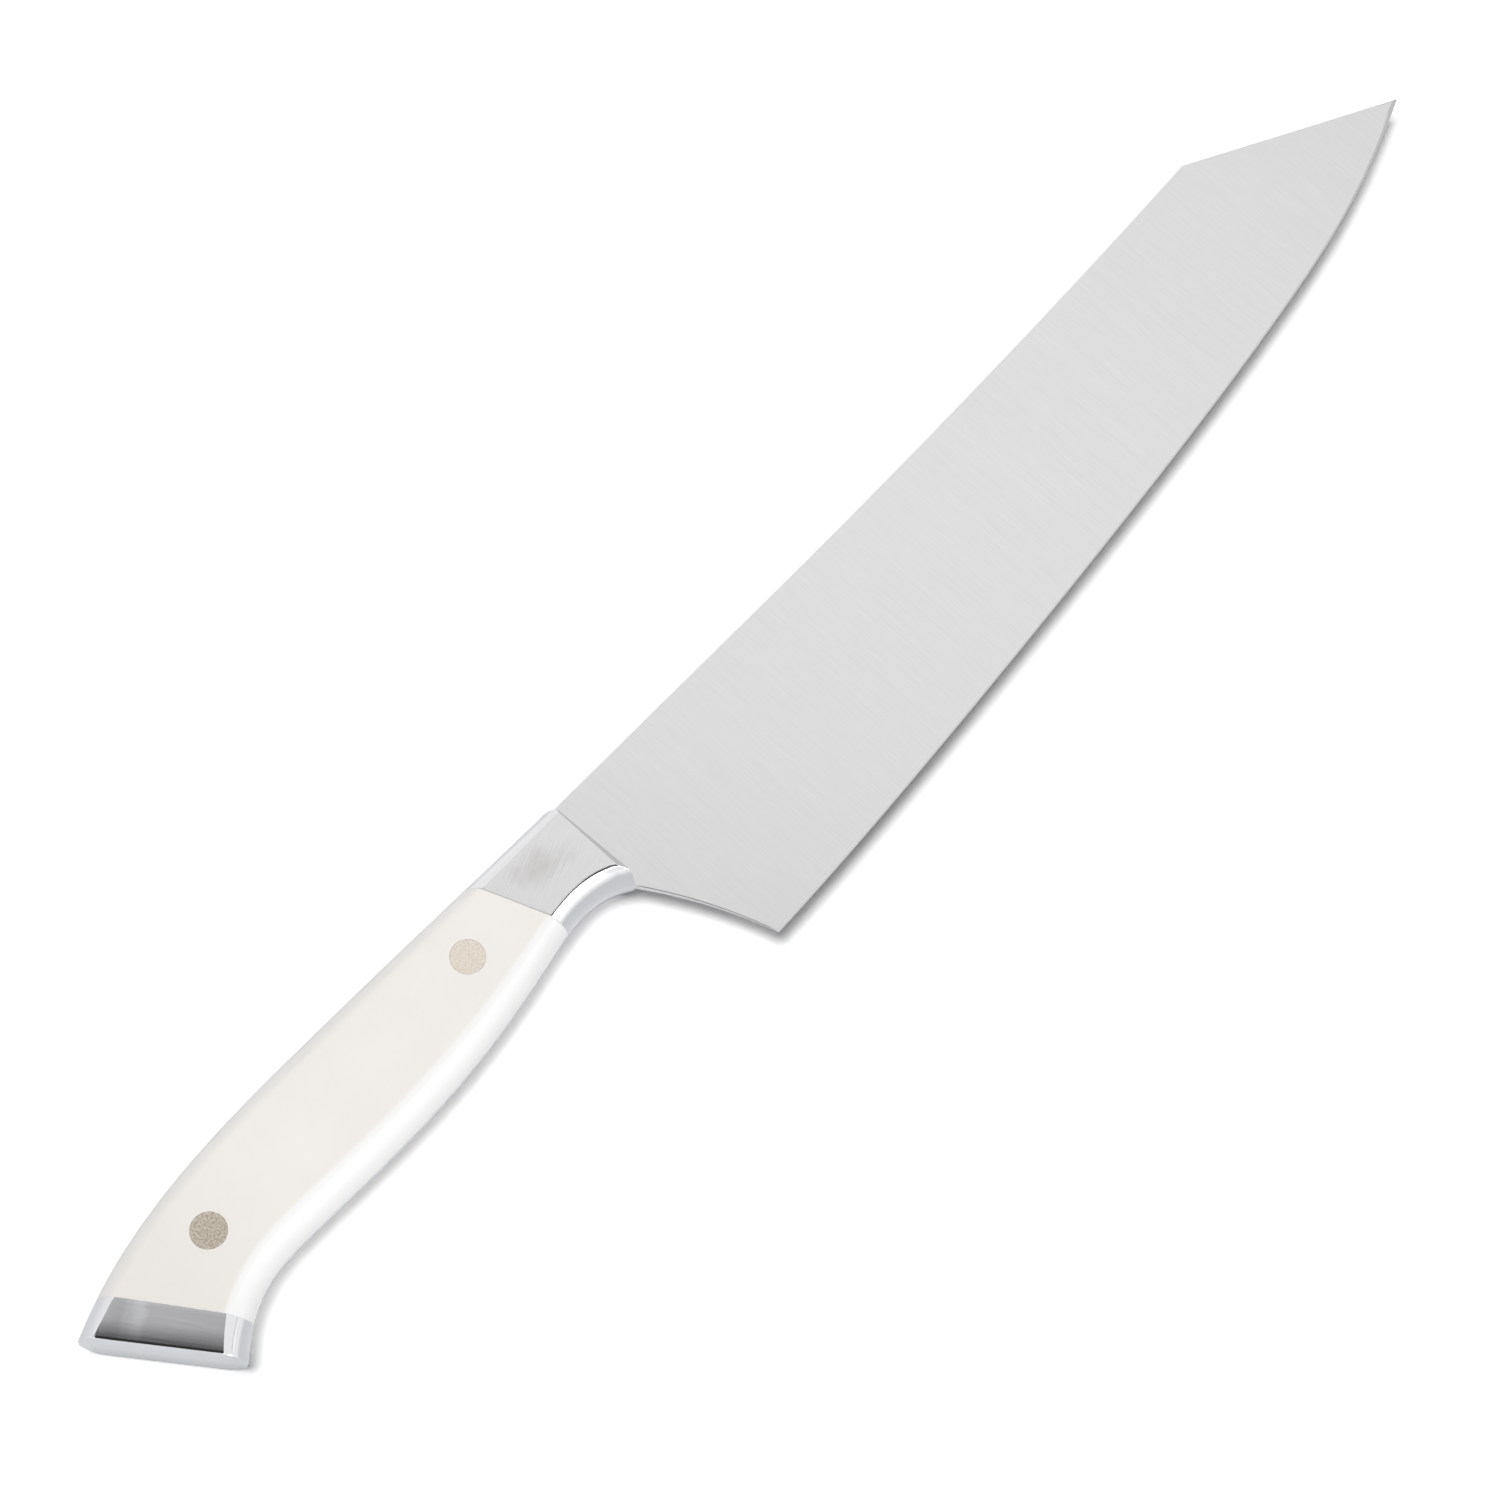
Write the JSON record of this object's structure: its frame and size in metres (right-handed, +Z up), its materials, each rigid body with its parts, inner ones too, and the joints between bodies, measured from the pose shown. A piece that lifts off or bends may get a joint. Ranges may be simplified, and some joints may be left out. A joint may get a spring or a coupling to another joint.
{
  "type": "kiritsuke chef's knife",
  "caption": "Full-tang kiritsuke kitchen knife with a clipped tip, steel bolster and end cap, and pale riveted scales.",
  "frame": {"origin": "on the left flat of the handle, midway between the two rivets, where the knife rests", "axes": "+X along the knife towards the tip, +Y from the cutting edge towards the spine, +Z up through the thickness, right side up"},
  "size_m": [0.334, 0.0455, 0.015],
  "materials": {
    "blade_steel": "fine satin, ground across the blade",
    "polished_steel": "satin flats with polished rounded edges",
    "scale_resin": "ivory white, softly polished",
    "nickel_silver": "sanded flush, warm grey",
    "pin_steel": "plain ground"
  },
  "bodies": {
    "root": {"blade": "blade_steel", "bolster_right": "polished_steel", "bolster_left": "polished_steel", "bolster_pins": "pin_steel", "scale_right": "scale_resin", "scale_left": "scale_resin", "front_rivet_male": "nickel_silver", "front_rivet_female": "nickel_silver", "rear_rivet_male": "nickel_silver", "rear_rivet_female": "nickel_silver", "end_cap_right": "polished_steel", "end_cap_left": "polished_steel", "end_cap_pins": "pin_steel"}
  },
  "joints": []
}
